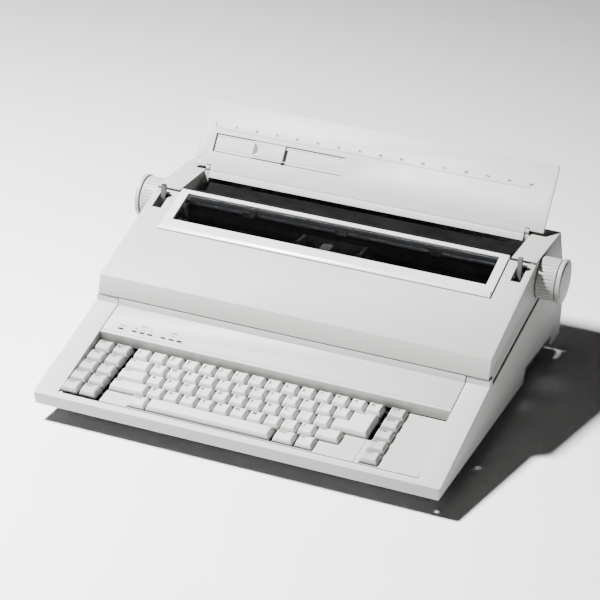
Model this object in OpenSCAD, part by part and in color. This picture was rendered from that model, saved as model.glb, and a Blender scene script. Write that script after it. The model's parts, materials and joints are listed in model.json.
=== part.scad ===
// Electronic daisy-wheel typewriter with a folding paper support.
// Millimetres. +X is the typist's right, +Y points to the back, +Z is up.
// The origin is on the table, under the middle of the case. Inside the modules,
// y counts from the front lip; from_front() moves it to the shared frame.

/* [Case] */
// Width of the upper covers
case_w = 450; // [446:1:450]
// Width of the lower case
low_w = 454; // [451:1:456]
// Depth of the case, from the front lip to the back wall
case_d = 419.4; // [419:0.2:420]
// Thickness of the moulded walls
wall = 3; // [2.6:0.1:3.2]
// Height of the lower case's bottom edge above the table
skirt_z = 21; // [20.5:0.5:22]
// Radius of the case's corners, seen from above
corner_r = 3; // [2:1:6]

/* [Keyboard] */
// Distance between neighbouring keys
pitch = 19.05; // [18.8:0.05:19.1]
// How far a key goes down
// Slope of the keyboard, in degrees
deck_angle = 9.4; // [9.2:0.1:9.6]
// Width of the keyboard opening
opening_w = 403; // [402:0.5:404]

/* [Platen] */
// Radius of the rubber roller
platen_r = 18.5; // [18:0.1:18.6]
// Radius of the steel shaft
shaft_r = 5; // [4:0.5:5]
// Radius of the hand knobs
knob_r = 23.5; // [22:0.5:24]
// Overall width over both knobs
knob_span = 507; // [504:1:510]

/* [Paper support] */
// Width of the paper support
support_w = 422; // [416:1:422]
// Length of the paper support above its hinge
support_l = 78.5; // [70:0.5:80]
// Lean of the open paper support, in degrees above the table
support_angle = 56; // [55:1:57]

/* [Printing] */
// How far the carriage sits left of the middle
carriage_x = -5; // [-8:1:0]
// Radius of the print wheel
wheel_r = 36; // [34:1:36]
// Number of fingers on the print wheel
wheel_fingers = 48; // [24:4:60]

/* [Hidden] */
$fn = 64;
eps = 0.01;
half_w = case_w / 2;
inner_w = half_w - wall;
low_hw = low_w / 2;
low_in = low_hw - wall;
open_hw = opening_w / 2;
block_hw = 197;            // inner side of the two rear blocks
block_z = 161.5;           // level top of the rear blocks
frame_x = 203;             // inner face of each steel side frame
frame_t = 2;
fit = 0.05;                // radial clearance of a running fit
gap = 0.5;                 // clearance between loose neighbours
seam = 1.1;                // open joint round the keyboard deck and the panel

// Main outlines, seen from the side, as [y from the front, z]
lip_top = [0, 34.3];
lip_bottom = [2.8, skirt_z - 0.7];
wing_back = [146.3, 79.5];
shelf_front = [147.3, 87];
shelf_back = [156.5, 87];
part_front = [158, 76.3];
part_back = [311, 110];
back_top = [406, 110];
back_low = [case_d, 53];
lower_outer = [lip_top, lip_bottom, [case_d, skirt_z], back_low, back_top, part_back,
    part_front, shelf_back, shelf_front, wing_back];
cover_front = [150.3, 109.2];
cover_back = [291, 159.2];
cover_outer = [[146.4, 88], [157.6, 88], [159.2, 77.6], [310.2, 110.9], cover_back, cover_front];
rear_outer = [[292.6, block_z], [311.9, 110.6], [406, 110.6], [403, 121], [384, block_z]];
wing_angle = atan2(wing_back.y - lip_top.y, wing_back.x);
cover_angle = atan2(cover_back.y - cover_front.y, cover_back.x - cover_front.x);

// Axes, as [y from the front, z]
platen = [314.7, 135.7];
cover_pin = [289.5, 156.5];
support_pin = [362.1, 164.2];
lever_pin = [280, 112];
front_rail = [250, 98];
rear_rail = [278, 78];
rail_r = 5;
belt = [262, 50];
pulley_r = 8;
pulley_x = 183;
gear_module = 1;
gear_teeth = [40, 28, 14];
train_angle = -60;
gear_x = -212;

// Keyboard: rows count from the back, and v is measured up the slope of the deck
deck_origin = [10, 36.5];
row_v = 86.3;
first_x = -145;
cap_d = 18.2;
cap_z = -1;                // bottom edge of a cap; the deck's face is 0
cap_h = 6.8;
guide_z = [-8, -6];        // plate that guides the key stems
left_cols = [-190.6, -169.4];
right_col = 146.4;
side_key_w = 20;

// ---------- helpers ----------

// Moves a part drawn from the front lip into the shared frame
module from_front() translate([0, -case_d / 2, 0]) children();

// Solid between x0 and x1 with the side outline pts
module prism_x(pts, x0, x1)
    translate([x0, 0, 0]) rotate([90, 0, 90]) linear_extrude(x1 - x0) polygon(pts);

// Round bar along X between x0 and x1 round the axis p
module bar_x(x0, x1, p, r) translate([x0, p.x, p.y]) rotate([0, 90, 0]) cylinder(h = x1 - x0, r = r);

// Round bar along Y between y0 and y1
module bar_y(x, y0, y1, z, r) translate([x, y0, z]) rotate([-90, 0, 0]) cylinder(h = y1 - y0, r = r);

// Box between two corners
module box(a, b) translate(a) cube(b - a);

// Both sides at once
module both() { children(); mirror([1, 0, 0]) children(); }

function unit(v) = v / norm(v);
function left_normal(a, b) = let (d = unit(b - a)) [-d.y, d.x];

// Outline moved inwards by d, for an outline that runs anticlockwise
function inset(p, d) = [for (i = [0:len(p) - 1])
    let (n1 = left_normal(p[(i + len(p) - 1) % len(p)], p[i]), n2 = left_normal(p[i], p[(i + 1) % len(p)]))
    p[i] + d * (n1 + n2) / (1 + n1 * n2)];

// Rectangle with round corners
module round_rect(x0, y0, x1, y1, r) {
    translate([x0 + r, y0]) square([x1 - x0 - 2 * r, y1 - y0]);
    translate([x0, y0 + r]) square([x1 - x0, y1 - y0 - 2 * r]);
    for (x = [x0 + r, x1 - r], y = [y0 + r, y1 - r]) translate([x, y]) circle(r);
}

// Point at distance d from c, in direction a
function polar(c, d, a) = c + d * [cos(a), sin(a)];

// Height of the line through a and b at y
function line_z(a, b, y) = a.y + (b.y - a.y) * (y - a.x) / (b.x - a.x);

// Places on the sloping surfaces: y runs up the slope, z stands square to it
module on_cover() translate([0, cover_front.x, cover_front.y]) rotate([cover_angle, 0, 0]) children();
module on_wing() translate([0, 0, lip_top.y]) rotate([wing_angle, 0, 0]) children();
module on_deck() translate([0, deck_origin.x, deck_origin.y]) rotate([deck_angle, 0, 0]) children();
module on_support()
    translate([0, support_pin.x, support_pin.y]) rotate([support_angle, 0, 0]) children();

// ---------- case ----------

plate_hw = 214;            // half width of the bottom plate
screw_x = 205;
screw_y = [60, 365];
crease = [[-5, 25], [16, 29], [214, 50], [323, 56], [398, 68], [430, 73]];

module lower_case() color([0.80, 0.79, 0.76]) from_front() difference() {
    intersection() {
        union() {
            difference() {
                prism_x(lower_outer, -low_hw, low_hw);
                prism_x(inset(lower_outer, wall), -low_in, low_in);
            }
            // side walls of the keyboard well
            both() prism_x([[8, 34], [146, 55], [146, 78], [8, 35.6]], open_hw, open_hw + 2);
            // bosses for the case screws
            both() for (y = screw_y) {
                translate([screw_x, y, 11.1]) cylinder(h = 29, r = 5);
                box([screw_x, y - 1.5, 32], [low_in + eps, y + 1.5, 40]);
            }
        }
        linear_extrude(200) round_rect(-low_hw, 0, low_hw, case_d, corner_r);
    }
    // open underside and open top behind the keyboard
    box([-low_in, 5, 0], [low_in, case_d - wall, skirt_z + wall + 1]);
    prism_x([[161, 60], [401, 60], [401, 130], [161, 130]], -low_in, low_in);
    // keyboard opening
    prism_x([[7.7, 24], [7.7, 90], [160, 130], [160, 24]], -open_hw, open_hw);
    // lower side band, set in under the crease
    both() prism_x(concat(crease, [[430, 0], [-5, 0]]), low_hw - 1.2, low_hw + 1);
    // hand grips
    both() prism_x([[279, 0], [285, 38], [382, 35], [388, 0]], low_in - 1, low_hw + 1);
    // openings for the power inlet, the power switch and cooling air
    box([150, case_d - 5, 28], [180, case_d + 1, 49]);
    box([112, case_d - 5, 30], [132, case_d + 1, 46]);
    for (i = [0:11]) box([-150 + 14 * i, case_d - 12, 60], [-144 + 14 * i, case_d + 1, 84]);
    both() for (y = screw_y) translate([screw_x, y, 5]) cylinder(h = 22, r = 1.6);
}

module bottom_plate() color([0.42, 0.41, 0.40]) from_front() difference() {
    union() {
        translate([0, 0, 8]) linear_extrude(14.5) round_rect(-plate_hw, 34, plate_hw, 408, 8);
        // flange that closes the case behind its front lip
        box([-plate_hw + 8, 6, 20.5], [plate_hw - 8, 37, 22.5]);
    }
    translate([0, 0, 11]) linear_extrude(20) round_rect(-plate_hw + 3, 37, plate_hw - 3, 405, 5);
    both() for (y = screw_y) translate([screw_x, y, 5]) cylinder(h = 10, r = 2.2);
    for (i = [0:9]) box([-90 + 18 * i, 200, 5], [-84 + 18 * i, 240, 15]);
}

module rubber_feet() color([0.12, 0.12, 0.12]) from_front()
    both() for (y = [50, 385]) translate([180, y, 0]) {
        cylinder(h = 8, r = 10);
        translate([0, 0, 1]) cylinder(h = 7, r = 11);
    }

// The screws' heads sit under the plate, and their shanks stand in the bosses
module case_screws() color([0.6, 0.6, 0.62]) from_front()
    both() for (y = screw_y) translate([screw_x, y, 0]) {
        translate([0, 0, 5.5]) cylinder(h = 2.5, r = 4);
        translate([0, 0, 8]) cylinder(h = 16, r = 1.6);
    }

// ---------- keyboard ----------

// Every key is [centre x, row, width in pitches], the rows counted from the back
function run(x0, row, n) = [for (i = [0:n - 1]) [x0 + i * pitch, row, 1]];
row_left = first_x - pitch / 2;
function from_left(units) = row_left + units * pitch;
NUMBER_KEYS = run(first_x, 0, 15);
UPPER_KEYS = concat([[from_left(0.75), 1, 1.5]], run(from_left(2), 1, 12));
HOME_KEYS = concat([[from_left(0.875), 2, 1.75]], run(from_left(2.25), 2, 11));
LOWER_KEYS = run(from_left(2.75), 3, 10);
LEFT_SHIFT = [[from_left(1.125), 3, 2.25]];
RIGHT_SHIFT = [[from_left(13), 3, 1.5]];
RETURN_LOW = [[from_left(13.875), 2, 2.25]];
RETURN_HIGH = [[from_left(14.25), 1, 1.5]];
SPACE = [[from_left(6.43), 4, 7.4]];
FRONT_KEYS = [[from_left(2.18), 4, 1.1], [from_left(10.86), 4, 1.25], [from_left(12.08), 4, 1.1]];
// Where the openings of the rows begin and end, in pitches
ROW_ENDS = [[0, 15], [0, 15], [0, 15], [0, 13.75], [1.63, 12.63]];
side_u = (side_key_w + pitch - cap_d) / pitch;
LEFT_BLOCK = [for (x = left_cols, r = [0:4]) [x, r, side_u]];
RIGHT_BLOCK = [for (r = [0:4]) [right_col, r, side_u]];
ALL_KEYS = concat(NUMBER_KEYS, UPPER_KEYS, HOME_KEYS, LOWER_KEYS, LEFT_SHIFT, RIGHT_SHIFT,
    RETURN_LOW, SPACE, FRONT_KEYS, LEFT_BLOCK, RIGHT_BLOCK);

function key_w(k) = k[2] * pitch - (pitch - cap_d);
function key_v(k) = row_v - k[1] * pitch;
// Wide keys stand on two stems
function stems(k) = k[2] >= 2 ? [-key_w(k) / 3, key_w(k) / 3] : [0];

// Cap with four sloping sides, base at z0
module cap(w, d = cap_d, z0 = cap_z, h = cap_h, side = 2.6, front = 2, back = 3.4) {
    intersection() {
        rotate([90, 0, 90]) translate([0, 0, -w / 2]) linear_extrude(w)
            polygon([[-d / 2, z0], [d / 2, z0], [d / 2 - back, h], [-d / 2 + front, h]]);
        rotate([90, 0, 0]) translate([0, 0, -d / 2]) linear_extrude(d)
            polygon([[-w / 2, z0], [w / 2, z0], [w / 2 - side, h], [-w / 2 + side, h]]);
    }
}

module key(k, h = cap_h) translate([k[0], key_v(k), 0]) {
    cap(key_w(k), h = h);
    for (x = stems(k)) translate([x - 2.5, -2.5, guide_z[0]]) cube([5, 5, 9]);
}

module keys(list, h = cap_h) from_front() on_deck() for (k = list) key(k, h);

white = [0.90, 0.89, 0.86];
grey = [0.72, 0.71, 0.69];
module left_block_keys() color(grey) keys(LEFT_BLOCK);
module right_block_keys() color(grey) keys(RIGHT_BLOCK);
module number_row_keys() color(white) keys(NUMBER_KEYS);
module upper_row_keys() color(white) keys(UPPER_KEYS);
module home_row_keys() color(white) keys(HOME_KEYS);
module lower_row_keys() color(white) keys(LOWER_KEYS);
module left_shift_key() color(white) keys(LEFT_SHIFT);
module right_shift_key() color(white) keys(RIGHT_SHIFT);
module space_bar() color(white) keys(SPACE);
module front_row_keys() color(white) keys(FRONT_KEYS, h = 6.2);
// L-shaped: the upper part joins the wide lower part
module return_key() color(white) from_front() on_deck() {
    key(RETURN_LOW[0]);
    translate([RETURN_HIGH[0][0], key_v(RETURN_HIGH[0]) - pitch / 2, 0])
        cap(key_w(RETURN_HIGH[0]), d = cap_d + pitch);
}

module keyboard_deck() color([0.78, 0.77, 0.74]) from_front() on_deck() difference() {
    box([-open_hw + seam, -0.4, -2.5], [open_hw - seam, 96, 0]);
    // openings that the caps go down into: the rows, the left block and the right block
    for (r = [0:4]) box([from_left(ROW_ENDS[r][0]) - eps, key_v([0, r]) - pitch / 2 - eps, -5],
        [from_left(ROW_ENDS[r][1]) + eps, r == 0 ? 98 : key_v([0, r]) + pitch / 2 + eps, 5]);
    box([-open_hw - 1, -1, -5], [row_left, 98, 5]);
    box([right_col - side_key_w / 2 - gap, key_v([0, 4]) - pitch / 2, -5],
        [right_col + side_key_w / 2 + gap, 98, 5]);
    box([from_left(15), key_v([0, 2]) - pitch / 2, -5], [right_col, 98, 5]);
    // thin front edge, with a dark joint in front of it
    box([-open_hw, -1, -3], [open_hw, 2.5, -0.8]);
    // joint of the blank plate under the return key
    box([from_left(15) - 1, -1, -0.8], [from_left(15) - 0.4, key_v([0, 2]) - pitch / 2 + 1, 1]);
}

module key_guide_plate() color([0.30, 0.30, 0.31]) from_front() on_deck() difference() {
    box([-open_hw + 1, 2, guide_z[0]], [open_hw - 1, 97, guide_z[1]]);
    for (k = ALL_KEYS, x = stems(k))
        translate([k[0] + x - 2.8, key_v(k) - 2.8, guide_z[0] - 1]) cube([5.6, 5.6, 4]);
}

module key_board() color([0.10, 0.30, 0.18]) from_front() on_deck()
    box([-open_hw + 2, 6, -13.6], [open_hw - 2, 96, -12]);

// ---------- control panel ----------

panel_outer = [[103, 66.2], [105.4, 52.9], [108, 53.4], [105.9, 64.6], [147.6, 77.5],
    [148.9, 84.1], [155.8, 84.1], [155.8, 86.6], [146.6, 86.6], [145.6, 79.3]];
lamp_x = [-180.6, -164.7, -155.4, -146.1, -130.2, -120.6, -111];
lamp_v = 118.4;
lamp_size = [5.4, 2.2, 3.4];

module control_panel() color([0.84, 0.83, 0.80]) from_front() difference() {
    prism_x(panel_outer, -open_hw + seam, open_hw - seam);
    for (x = lamp_x) on_wing() translate([x - 2.9, lamp_v - 1.3, -6]) cube([5.8, 2.6, 8]);
    // fine groove behind the front ridge
    on_wing() box([-open_hw, 111.6, -0.7], [open_hw, 112.4, 1]);
}

module indicator_lamps() color([0.15, 0.05, 0.05]) from_front() on_wing()
    for (x = lamp_x) translate([x - 2.7, lamp_v - 1.1, -4]) cube(lamp_size);

// ---------- covers ----------

window_hw = 194.5;
clear_hw = 184.5;
window_front = 86;
clear_front = 103.5;
clear_back = 148.5;
window_back = 154;
slot_x = [206, 217.5];
slot_v = [118.5, 146.5];

module top_cover() color([0.83, 0.82, 0.79]) from_front() difference() {
    intersection() {
        difference() {
            prism_x(cover_outer, -half_w, half_w);
            prism_x(inset(cover_outer, wall), -inner_w, inner_w);
        }
        linear_extrude(200) round_rect(-half_w, -5, half_w, case_d, corner_r);
    }
    // open underside and back
    prism_x([[149.5, 70], [330, 70], [330, 168.6], [200, 123.3], [152.9, 106.6], [149.5, 90]],
        -inner_w, inner_w);
    // place of the window, open at the back
    on_cover() box([-window_hw + 4, window_front + 4, -8], [window_hw - 4, 170, 8]);
    // slots of the two levers
    both() on_cover() box([slot_x[0], slot_v[0], -8], [slot_x[1], slot_v[1], 8]);
    // notches for the hinge ears, and the pins' holes
    both() prism_x([[286, 150], [286, 165], [300, 165], [300, 150]], 218.4, 222);
    both() bar_x(221, 223.6, cover_pin, 1);
    // fine steps along the sides
    for (i = [0:2]) both() prism_x([for (p = [[159.2, 77.6], [310.2, 110.9], [310.2, 111.7],
        [159.2, 78.4]]) p + [0, 5 + 5 * i]], half_w - 0.7, half_w + 1);
}

module cover_pins() color([0.7, 0.7, 0.72]) from_front() both() bar_x(218.7, 223.5, cover_pin, 1);

module window_frame() color([0.88, 0.88, 0.87]) from_front() on_cover() difference() {
    union() {
        box([-window_hw, window_front, gap - 0.2], [window_hw, window_back, 2.2]);
        box([-window_hw + 4.4, window_front + 4.4, -3], [window_hw - 4.4, window_back, 0.5]);
        // raised rail with a sloping front
        prism_x([[window_front + 1, 2], [window_front + 8.5, 2], [window_front + 8.5, 3.4],
            [window_front + 4, 3.4]], -window_hw + 1, window_hw - 1);
    }
    box([-clear_hw, clear_front, -8], [clear_hw, clear_back, 8]);
    box([-clear_hw - 2, clear_front - 2, -1.7], [clear_hw + 2, clear_back + 2, 0.4]);
}

module window_pane() color([0.75, 0.78, 0.80, 0.4]) from_front() on_cover()
    box([-clear_hw - 1.9, clear_front - 1.9, -1.6], [clear_hw + 1.9, clear_back + 1.9, 0.3]);

module rear_cover() color([0.80, 0.79, 0.76]) from_front() difference() {
    union() {
        difference() {
            intersection() {
                prism_x(rear_outer, -half_w, half_w);
                linear_extrude(200) round_rect(-half_w, 0, half_w, 406, corner_r);
            }
            prism_x(inset(rear_outer, wall), -inner_w, inner_w);
            // open underside, and open front between the side walls
            prism_x([[280, 100], [402.6, 100], [402.6, 112], [399.8, 120.2], [320, 120.2],
                [320, block_z - wall], [280, block_z - wall]], -inner_w, inner_w);
            // trough for the platen and the folding support
            box([-block_hw, 270, 100], [block_hw, 376, 200]);
        }
        // inner walls of the blocks, and the trough's back wall
        both() prism_x([[294.5, block_z - 1], [298, 152], [312, 114], [376, 114], [376, block_z - 1]],
            block_hw, block_hw + wall);
        prism_x([[376, 130], [378, 130], [378, block_z - 1], [376, block_z - 1]],
            -block_hw - 1, block_hw + 1);
        // ears of the paper support's hinge
        both() {
            bar_x(191.4, 195, support_pin, 3);
            prism_x([[359.6, 150], [364.6, 150], [364.6, 164], [359.6, 164]], 191.4, 195);
            prism_x([[358, 148], [366, 148], [366, 160], [358, 160]], 191.4, 197.5);
        }
        // ears of the cover's hinge
        both() {
            bar_x(219, 221.4, cover_pin, 2.6);
            prism_x([[289.5, 153.9], [298, 153.9], [300, 158], [289.5, 159.1]], 219, 221.4);
            prism_x([[294.5, 153.9], [300, 153.9], [300, 159], [294.5, 159]], 219, 223);
        }
    }
    both() bar_x(215, 221.45, cover_pin, 1 + fit);
    both() bar_x(190, 196, support_pin, 1.5 + fit);
    both() bar_x(block_hw - 1, half_w + 1, platen, shaft_r + 1.5);
    // notch over the release linkage
    both() box([block_hw - 1, 300, 100], [block_hw + 4, 330, 120]);
    // fine steps along the sides
    for (i = [0:2]) both() prism_x([[300, 115.8 + 5 * i], [410, 115.8 + 5 * i], [410, 116.6 + 5 * i],
        [300, 116.6 + 5 * i]], half_w - 0.7, half_w + 1);
}

// ---------- paper support ----------

guide_v = [20.5, 40.5];
guide_x = [-144.8, -105.5];
recess_x = [-193.5, -33.5];
hold_r = 6.5;

// In this frame y runs up the panel from the hinge, and z points to the front
module paper_support() color([0.84, 0.83, 0.80]) from_front() on_support() difference() {
    union() {
        box([-support_w / 2, 1, -2], [support_w / 2, support_l, 2]);
        box([-190, -11.5, -2], [190, 2, 2]);
        bar_local(-194.6, 194.6, 1.5);
    }
    both() bar_local(190.4, 195.6, 4.2, hole = 1.5);
    // groove of the paper guide, deeper round its edges, and its two slots
    for (v = [guide_v[0] - 1, guide_v[1]]) box([recess_x[0], v, -1], [recess_x[1], v + 1.1, 3]);
    box([recess_x[0], guide_v[0] - 1, -1], [recess_x[0] + 2, guide_v[1] + 1.1, 3]);
    box([recess_x[0], guide_v[0] - 0.4, 0.4], [recess_x[1], guide_v[1] + 0.4, 3]);
    for (v = [guide_v[0] + 2, guide_v[1] - 3]) box([recess_x[0] + 3, v, -3], [recess_x[1] - 3, v + 1.2, 3]);
    // crease between the panel and its hinge strip
    box([-191, -3.4, 1.5], [191, -2.8, 3]);
    // index mark
    translate([-205.5, 8.5, 1.5]) rotate([0, 0, 45]) box([-1.6, -1.6, 0], [1.6, 1.6, 2]);
}
// bar or ring along X round the hinge axis, in the support's frame
module bar_local(x0, x1, r, hole = 0) translate([x0, 0, 0]) rotate([0, 90, 0]) difference() {
    cylinder(h = x1 - x0, r = r);
    if (hole > 0) translate([0, 0, -1]) cylinder(h = x1 - x0 + 2, r = hole);
}

module paper_guide() color([0.86, 0.85, 0.82]) from_front() on_support() difference() {
    union() {
        box([guide_x[0], guide_v[0], 0.7], [guide_x[1], guide_v[1], 3.2]);
        for (v = [guide_v[0] + 2.2, guide_v[1] - 2.8])
            box([guide_x[0] + 8, v, -2], [guide_x[1] - 8, v + 0.8, 1]);
        // upright edge that the paper lies against
        box([guide_x[1] - 3, guide_v[0], 3], [guide_x[1], guide_v[1], 5.2]);
    }
    // finger hold
    translate([guide_x[0], (guide_v[0] + guide_v[1]) / 2, 1.9]) cylinder(h = 3, r = hold_r);
}

// ---------- frames and platen ----------

// The notch in its top edge clears the rod of the paper bail
frame_outline = [[236, 11.2], [356, 11.2], [356, 44], [398, 44], [398, 104], [378, 150],
    [330, 155], [302, 155],
    [302, 140], [276, 138], [240, 128], [236, 126]];

module side_frame(side) color([0.62, 0.63, 0.65]) from_front() difference() {
    union() {
        prism_x(frame_outline, side > 0 ? frame_x : -frame_x - frame_t,
            side > 0 ? frame_x + frame_t : -frame_x);
        box([side > 0 ? frame_x - 8 : -frame_x - frame_t, 236, 11.2],
            [side > 0 ? frame_x + frame_t : -frame_x + 8, 356, 13.2]);
        // fixed stub of the lever on this side
        bar_x(side > 0 ? frame_x : -frame_x - 13, side > 0 ? frame_x + 13 : -frame_x, lever_pin, 3);
    }
    bar_x(side * frame_x - 5, side * frame_x + 5, platen, 8);
    bar_x(side * frame_x - 5, side * frame_x + 5, front_rail, rail_r);
    bar_x(side * frame_x - 5, side * frame_x + 5, rear_rail, rail_r);
    // lightening holes
    for (p = [[268, 45], [310, 60], [360, 60], [382, 84]])
        bar_x(side * frame_x - 5, side * frame_x + 5, p, 12);
    // room for the roller shafts, which drop with the feed frame, and holes for its pivot rod
    for (p = roller_axes) bar_x(side * frame_x - 5, side * frame_x + 5, p, 7);
    bar_x(side * frame_x - 5, side * frame_x + 5, feed_pivot, 2.5 + fit);
    for (i = [0, 1]) bar_x(-frame_x - 5, -frame_x + 5, train[i + 1], 2.5);
}
module side_frame_left() side_frame(-1);
module side_frame_right() side_frame(1);

module platen_roller() color([0.09, 0.09, 0.09]) from_front() difference() {
    bar_x(-188, 188, platen, platen_r);
    bar_x(-200, 200, platen, platen_r - 4);
}

module platen_shaft() color([0.70, 0.70, 0.72]) from_front() {
    bar_x(-knob_span / 2 + 5, knob_span / 2 - 5, platen, shaft_r);
    for (x = [-187, -62, 60, 185]) bar_x(x, x + 2, platen, platen_r - 4);
}

module platen_bushes() color([0.75, 0.62, 0.30]) from_front() both() difference() {
    union() {
        bar_x(frame_x - 1, frame_x + frame_t, platen, 8);
        bar_x(frame_x - 2, frame_x, platen, 10);
    }
    bar_x(frame_x - 5, frame_x + 5, platen, shaft_r + fit);
}

// Knob with a ribbed drum, a groove and an end disc, along +X from x = 0
module knob_body() {
    drum = 20;
    difference() {
        union() {
            cylinder(h = drum, r = knob_r);
            translate([0, 0, drum - eps]) cylinder(h = 2.4, r = knob_r - 2.5);
            translate([0, 0, drum + 2]) cylinder(h = 4, r = knob_r + 1.3);
            translate([0, 0, drum + 6 - eps]) cylinder(h = 1, r = knob_r - 2.5);
        }
        for (i = [0:35]) rotate([0, 0, i * 10]) translate([knob_r, 0, 3]) cylinder(h = drum - 6, r = 0.7);
        translate([0, 0, -1]) cylinder(h = 24, r = shaft_r);
        translate([0, 0, -1]) cylinder(h = 12, r = knob_r - 4);
    }
}
knob_x = knob_span / 2 - 27;
module knob_right() color([0.66, 0.65, 0.63]) from_front()
    translate([knob_x, platen.x, platen.y]) rotate([0, 90, 0]) knob_body();
module knob_left() color([0.66, 0.65, 0.63]) from_front()
    translate([-knob_x, platen.x, platen.y]) rotate([0, -90, 0]) knob_body();

// ---------- paper feed gears ----------

// Spur gear outline: tapered teeth with backlash, one tooth pointing along angle 0
function gear_points(n) = [for (i = [0:n - 1], s = [[-0.30, -1.15], [-0.22, 0], [-0.10, 0.9], [0.10, 0.9],
    [0.22, 0], [0.30, -1.15]]) (n * gear_module / 2 + s[1] * gear_module)
    * [cos((i + s[0]) * 360 / n), sin((i + s[0]) * 360 / n)]];
// Gear round the axis p, its first tooth pointing in direction a of the side view
module gear_x_at(p, n, a, x0, w, bore) difference() {
    translate([x0, p.x, p.y]) rotate([90, 0, 90]) linear_extrude(w) rotate(a) polygon(gear_points(n));
    bar_x(x0 - 1, x0 + w + 1, p, bore);
}
function pitch_r(i) = gear_teeth[i] * gear_module / 2;
train1 = polar(platen, pitch_r(0) + pitch_r(1), train_angle);
train2 = polar(train1, pitch_r(1) + pitch_r(2), train_angle);
train = [platen, train1, train2];

module platen_gear() color([0.88, 0.86, 0.78]) from_front()
    gear_x_at(train[0], gear_teeth[0], train_angle, gear_x, 4, shaft_r);
module feed_idler_gear() color([0.88, 0.86, 0.78]) from_front() union() {
    gear_x_at(train[1], gear_teeth[1], train_angle + 180 + 180 / gear_teeth[1], gear_x, 4, 2);
    bar_x(gear_x - 1, -frame_x + 1, train[1], 2.45);
}
module feed_pinion() color([0.75, 0.62, 0.30]) from_front() union() {
    gear_x_at(train[2], gear_teeth[2], train_angle + 180, gear_x, 4, 1.5);
    bar_x(gear_x - 1, -frame_x + 2, train[2], 2.45);
}
module feed_motor() color([0.25, 0.25, 0.27]) from_front() difference() {
    union() {
        bar_x(-frame_x, -frame_x + 26, train[2], 17);
        box([-frame_x, train[2].x - 21, train[2].y - 3], [-frame_x + 1.5, train[2].x + 21, train[2].y + 3]);
    }
    bar_x(-frame_x - 1, -frame_x + 3, train[2], 2.8);
}

// ---------- paper pan and feed rollers ----------

feed_r = 7;
roller_axes = [polar(platen, platen_r + feed_r + 0.2, -110), polar(platen, platen_r + feed_r + 0.2, -62)];
roller_x = [-150, -75, 0, 75, 150];
roller_w = 24;

module paper_pan() color([0.55, 0.56, 0.58]) from_front() difference() {
    union() {
        difference() {
            bar_x(-186, 186, platen, platen_r + 2.4);
            bar_x(-190, 190, platen, platen_r + 1.2);
            // only the lower back part of the tube is kept
            prism_x([platen, polar(platen, 60, -142), polar(platen, 60, 180), polar(platen, 60, 135),
                polar(platen, 60, 90), polar(platen, 60, 45), polar(platen, 60, 15)], -200, 200);
        }
        // chute up to the support
        prism_x([polar(platen, platen_r + 1.3, 12), polar(platen, platen_r + 2.4, 12),
            [352, 151], [351, 151.6]], -186, 186);
    }
    for (x = roller_x, p = roller_axes) bar_x(x - roller_w / 2 - 1.5, x + roller_w / 2 + 1.5, p, feed_r + 1);
}

// Frame that carries the feed rollers; it tips down round its pivot rod when the paper is released
feed_pivot = [356, 104];
module feed_frame() color([0.45, 0.46, 0.48]) from_front() difference() {
    union() {
        for (x = [-112, -37, 38, 113]) prism_x([[298, 96], [360, 98], [360, 108], [334, 105], [331, 116],
            [322, 116], [318, 106], [311, 106], [309, 115], [301, 115], [298, 106]], x - 1.5, x + 1.5);
        box([-185, 312, 97], [185, 318, 101]);
        bar_x(-frame_x - 1.5, frame_x + 1.5, feed_pivot, 2.5);
    }
    for (p = roller_axes) bar_x(-190, 190, p, 2.5 + fit);
}
module feed_roller_set(i) {
    bar_x(-206.5, 206.5, roller_axes[i], 2.5);
    for (x = roller_x) bar_x(x - roller_w / 2, x + roller_w / 2, roller_axes[i], feed_r);
}
module front_feed_rollers() color([0.14, 0.14, 0.14]) from_front() feed_roller_set(0);
module rear_feed_rollers() color([0.14, 0.14, 0.14]) from_front() feed_roller_set(1);

// ---------- levers and paper bail ----------

lever_x = [208, 213.5];
arm_x = [205.6, 207.4];
bail_rod = [295, 147];
bail_rod_r = 1.8;

// Hand lever with its hub, standing up through a slot of the cover
module hand_lever() {
    prism_x([for (p = [[-2.4, -4], [2.4, -4], [1.5, 40], [1.6, 58], [-2.4, 58], [-2.5, 40]]) lever_pin + p],
        lever_x[0], lever_x[1]);
    bar_x(lever_x[0], lever_x[1], lever_pin, 6.5);
}
module paper_release_lever() color([0.72, 0.71, 0.69]) from_front() difference() {
    hand_lever();
    bar_x(lever_x[0] - 1, lever_x[1] + 1, lever_pin, 3 + fit);
}

module paper_bail() color([0.60, 0.61, 0.63]) from_front() difference() {
    union() {
        mirror([1, 0, 0]) hand_lever();
        mirror([1, 0, 0]) bar_x(arm_x[0], lever_x[1], lever_pin, 6.5);
        bar_x(arm_x[0], arm_x[1], lever_pin, 6.5);
        both() prism_x([lever_pin + [-3, -4], lever_pin + [5, -4], bail_rod + [2, -2], bail_rod + [2, 2.4],
            bail_rod + [-2, 2.4], lever_pin + [2, 18]], arm_x[0], arm_x[1]);
        bar_x(-arm_x[1], arm_x[1], bail_rod, bail_rod_r);
    }
    both() bar_x(arm_x[0] - 1, lever_x[1] + 1, lever_pin, 3 + fit);
}
module bail_rollers() color([0.14, 0.14, 0.14]) from_front() for (x = [-110, 0, 110]) difference() {
    bar_x(x - 7, x + 7, bail_rod, 4);
    bar_x(x - 8, x + 8, bail_rod, bail_rod_r + fit);
}

// ---------- carriage ----------

module carriage_rails() color([0.78, 0.78, 0.80]) from_front()
    for (p = [front_rail, rear_rail]) bar_x(-frame_x - frame_t, frame_x + frame_t, p, rail_r);

module at_carriage() from_front() translate([carriage_x, 0, 0]) children();
wheel_z = 103;
hammer_z = 137;
spool_x = 50;

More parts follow.
